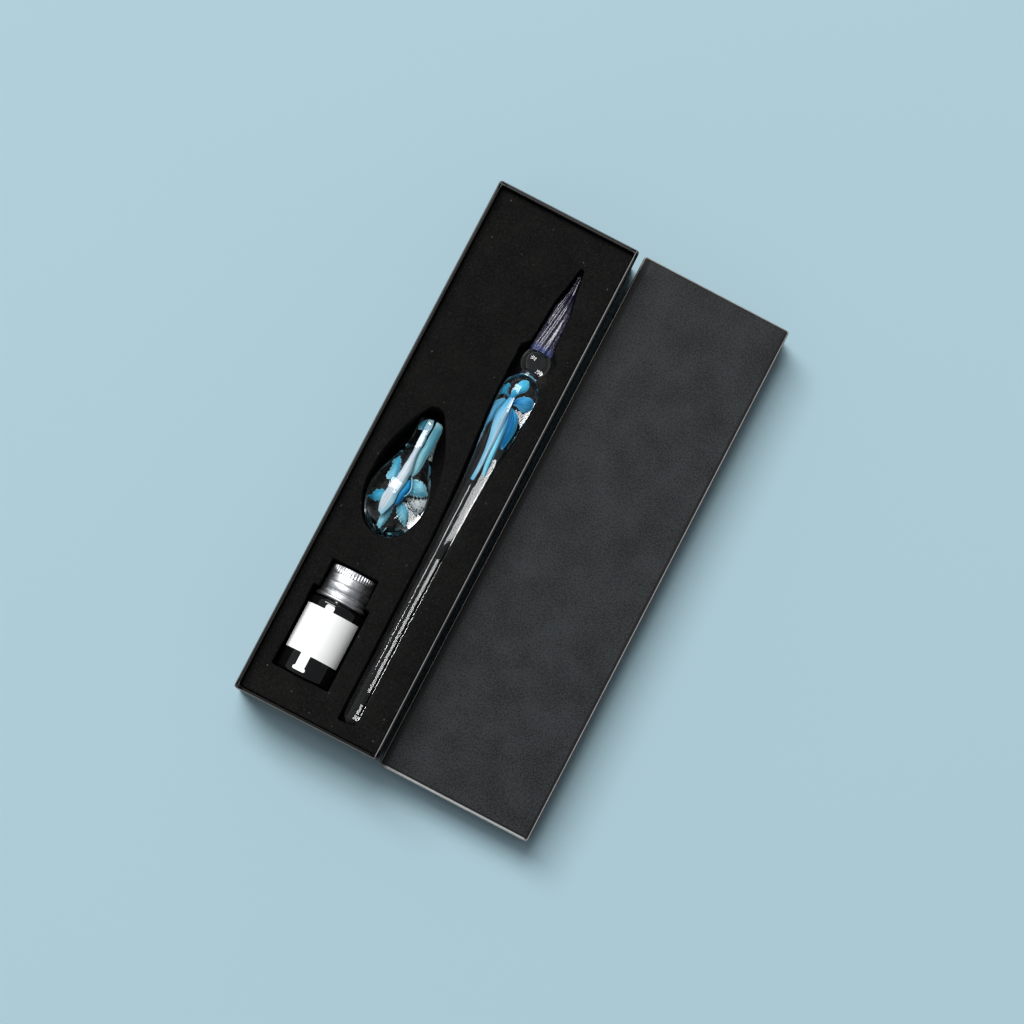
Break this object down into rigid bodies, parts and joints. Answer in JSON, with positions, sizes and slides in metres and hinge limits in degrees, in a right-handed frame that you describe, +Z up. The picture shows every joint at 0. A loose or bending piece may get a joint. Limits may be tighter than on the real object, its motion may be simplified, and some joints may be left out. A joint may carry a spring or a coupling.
{
  "type": "glass pen and ink set",
  "caption": "Glass dip pen with twisted nib, capped ink bottle and drop-shaped glass pen rest in a foam-lined board box, with the box's lift-off lid beside it.",
  "frame": {"origin": "centre of the tray's underside, on the surface that the set stands on", "axes": "+X across the tray towards the lid beside it, +Y along the tray towards the pen's nib, +Z up"},
  "size_m": [0.1183, 0.2084, 0.028],
  "materials": {
    "greyboard": "raw grey board",
    "black_paper": "smooth black paper, worn pale at the rim",
    "grained_paper": "black paper with a fine leather grain",
    "paper_tape": "thin brown tape",
    "black_foam": "matte black foam with fine pores",
    "clear_glass": "clear, flame polished",
    "violet_glass": "dark violet blue, twisted flutes",
    "white_glass": "opaque white",
    "pale_blue_glass": "opaque pale blue and teal",
    "blue_glass": "opaque deep blue",
    "bottle_glass": "glossy black",
    "ink": "liquid",
    "label_paper": "matte white, blank",
    "cap_liner": "soft white disc",
    "rolled_aluminium": "satin, rolled and knurled"
  },
  "bodies": {
    "tray": {"tray_board": "greyboard", "tray_wrap": "black_paper", "tray_corner_stays": "paper_tape"},
    "insert": {"foam_base": "black_foam", "foam_middle": "black_foam", "foam_top": "black_foam"},
    "pen": {"pen_handle": "clear_glass", "pen_nib": "violet_glass", "pen_flower_stem": "white_glass", "pen_flower_streak": "pale_blue_glass", "pen_flower_petals": "blue_glass"},
    "pen_rest": {"rest_glass": "clear_glass", "rest_flower_band": "white_glass", "rest_flower_heart": "blue_glass", "rest_flower_petals": "pale_blue_glass"},
    "bottle": {"ink_bottle": "bottle_glass", "ink": "ink", "bottle_label": "label_paper"},
    "liner": {"cap_liner": "cap_liner"},
    "cap": {"bottle_cap": "rolled_aluminium"},
    "lid": {"lid_board": "greyboard", "lid_wrap": "grained_paper", "lid_corner_stays": "paper_tape"}
  },
  "joints": [
    {"name": "insert_lift", "type": "slide", "parent": "tray", "child": "insert", "axis": [0, 0, 1], "range_m": [0, 0.04]},
    {"name": "pen_lift", "type": "slide", "parent": "insert", "child": "pen", "axis": [0, 0, 1], "range_m": [0, 0.04]},
    {"name": "rest_lift", "type": "slide", "parent": "insert", "child": "pen_rest", "axis": [0, 0, 1], "range_m": [0, 0.04]},
    {"name": "bottle_lift", "type": "slide", "parent": "insert", "child": "bottle", "axis": [0, 0, 1], "range_m": [0, 0.04]},
    {"name": "cap_rise", "type": "slide", "parent": "bottle", "child": "liner", "axis": [0, 1, 0], "range_m": [0, 0.00066]},
    {"name": "cap_turn", "type": "hinge", "parent": "liner", "child": "cap", "pos_m": [-0.0093, -0.05, 0.01615], "axis": [0, 1, 0], "range_deg": [0, 75]},
    {"name": "lid_lift", "type": "slide", "parent": "tray", "child": "lid", "axis": [0, 0, 1], "range_m": [0, 0.04]}
  ],
  "couplings": [
    {"joint": "cap_turn", "follows": "cap_rise", "rad_per_m": 1979}
  ]
}
